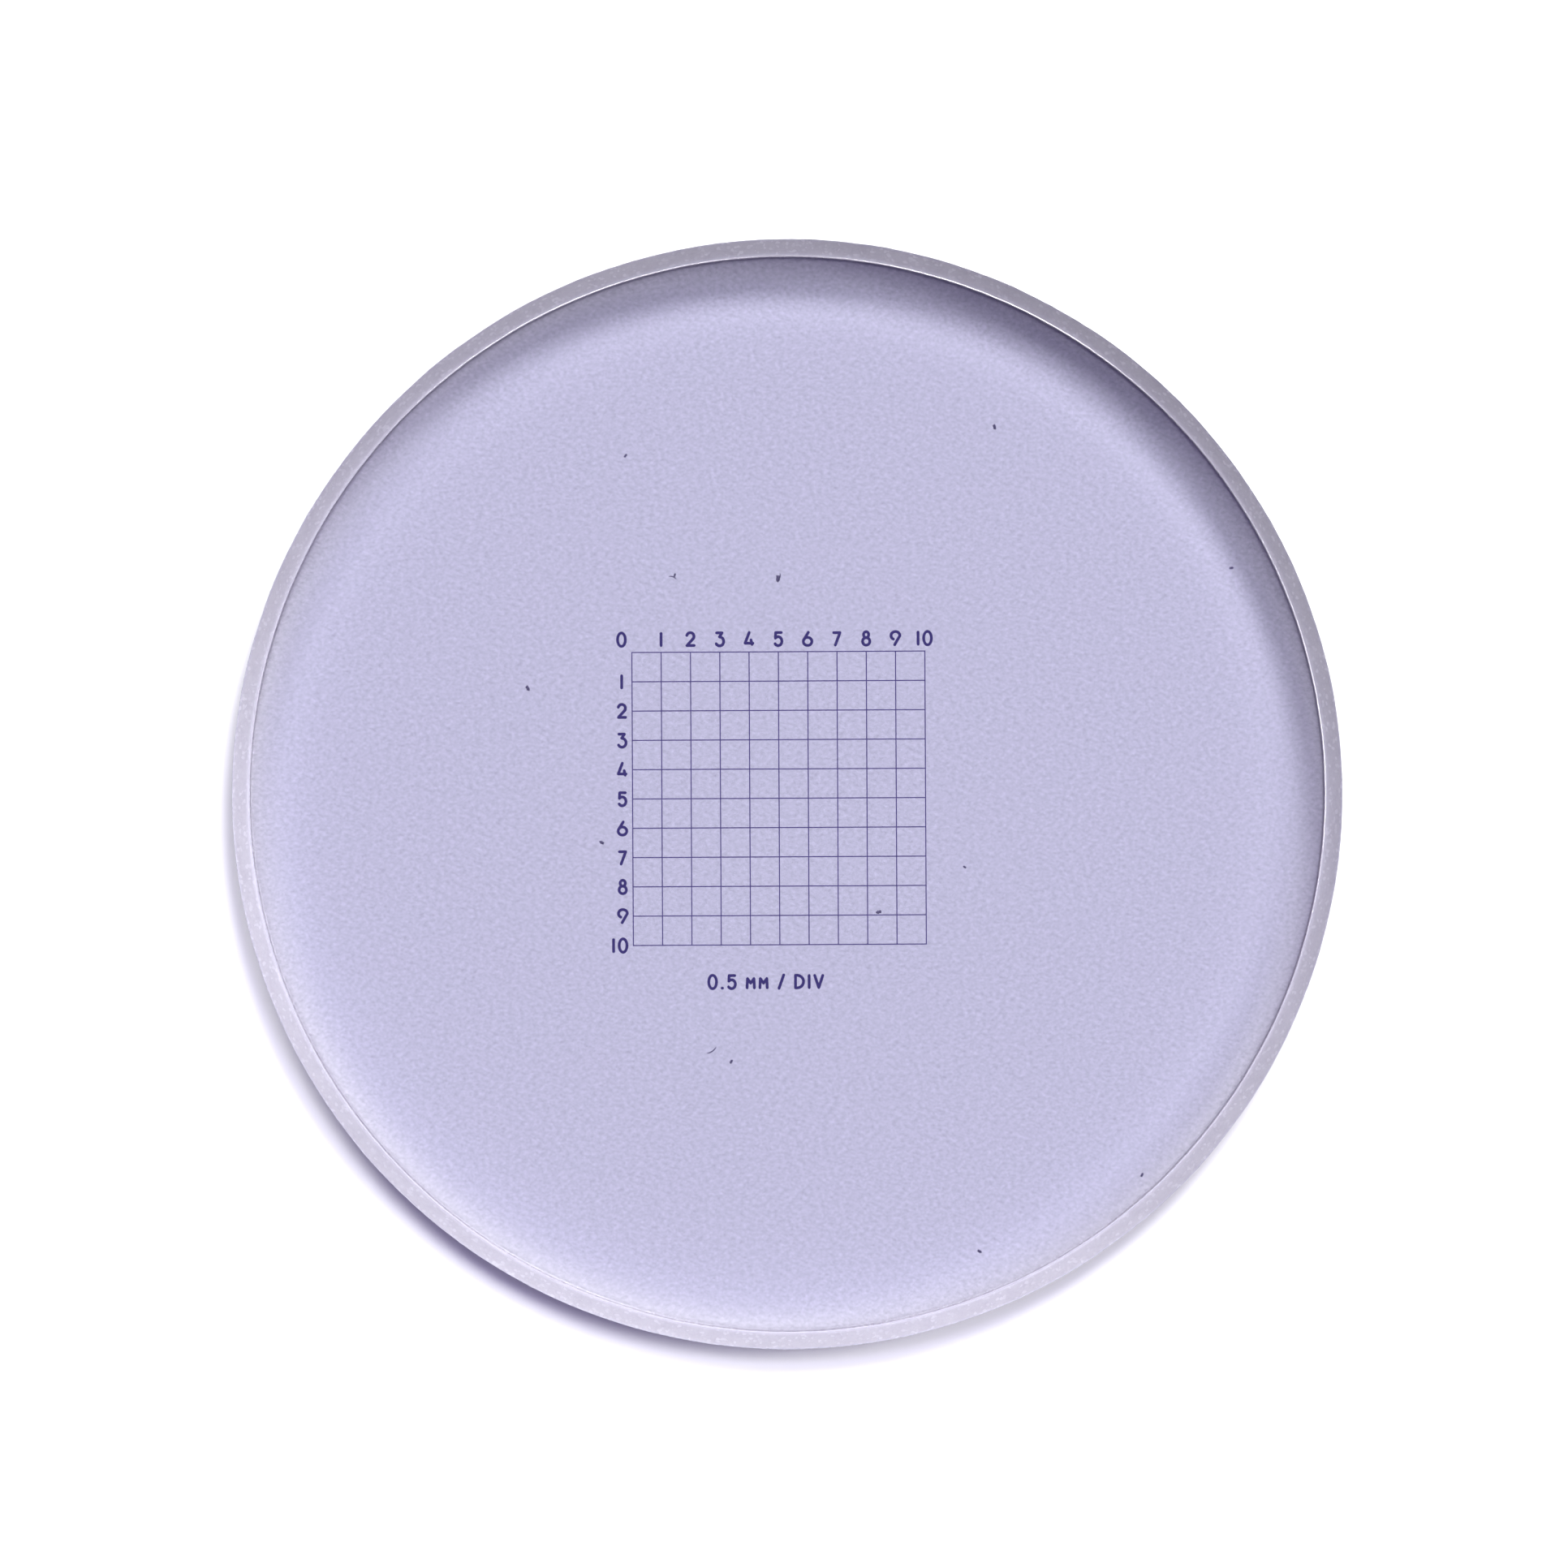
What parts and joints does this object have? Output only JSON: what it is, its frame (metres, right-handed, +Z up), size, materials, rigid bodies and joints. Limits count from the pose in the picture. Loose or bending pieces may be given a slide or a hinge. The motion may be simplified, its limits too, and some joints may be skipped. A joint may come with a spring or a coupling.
{
  "type": "eyepiece grid reticle",
  "caption": "Round glass eyepiece reticle with a ground bevelled rim and a numbered square counting grid in dark film on its top face.",
  "frame": {"origin": "centre of the disc's bottom face, on the disc's axis", "axes": "+Z up along the disc's axis, through the film side; +Y up the page of the numerals; +X to their right"},
  "size_m": [0.019, 0.019, 0.0015],
  "materials": {
    "glass": "clear glass with a pale lavender cast, faces polished, bevels and rim fine ground",
    "line_film": "thin dark indigo deposited film, hairline width, slightly see-through at its edges",
    "letter_film": "dark indigo deposited film, satin"
  },
  "bodies": {
    "root": {"glass_disc": "glass", "grid_net": "line_film", "left_numeral_1": "letter_film", "left_numeral_10_one": "letter_film", "left_numeral_10_zero": "letter_film", "left_numeral_2": "letter_film", "left_numeral_3": "letter_film", "left_numeral_4": "letter_film", "left_numeral_5": "letter_film", "left_numeral_6": "letter_film", "left_numeral_7": "letter_film", "left_numeral_8": "letter_film", "left_numeral_9": "letter_film", "top_numeral_0": "letter_film", "top_numeral_1": "letter_film", "top_numeral_10_one": "letter_film", "top_numeral_10_zero": "letter_film", "top_numeral_2": "letter_film", "top_numeral_3": "letter_film", "top_numeral_4": "letter_film", "top_numeral_5": "letter_film", "top_numeral_6": "letter_film", "top_numeral_7": "letter_film", "top_numeral_8": "letter_film", "top_numeral_9": "letter_film", "units_note_1_zero": "letter_film", "units_note_2_point": "letter_film", "units_note_3_five": "letter_film", "units_note_4_m": "letter_film", "units_note_5_m": "letter_film", "units_note_6_slash": "letter_film", "units_note_7_d": "letter_film", "units_note_8_i": "letter_film", "units_note_9_v": "letter_film"}
  },
  "joints": []
}
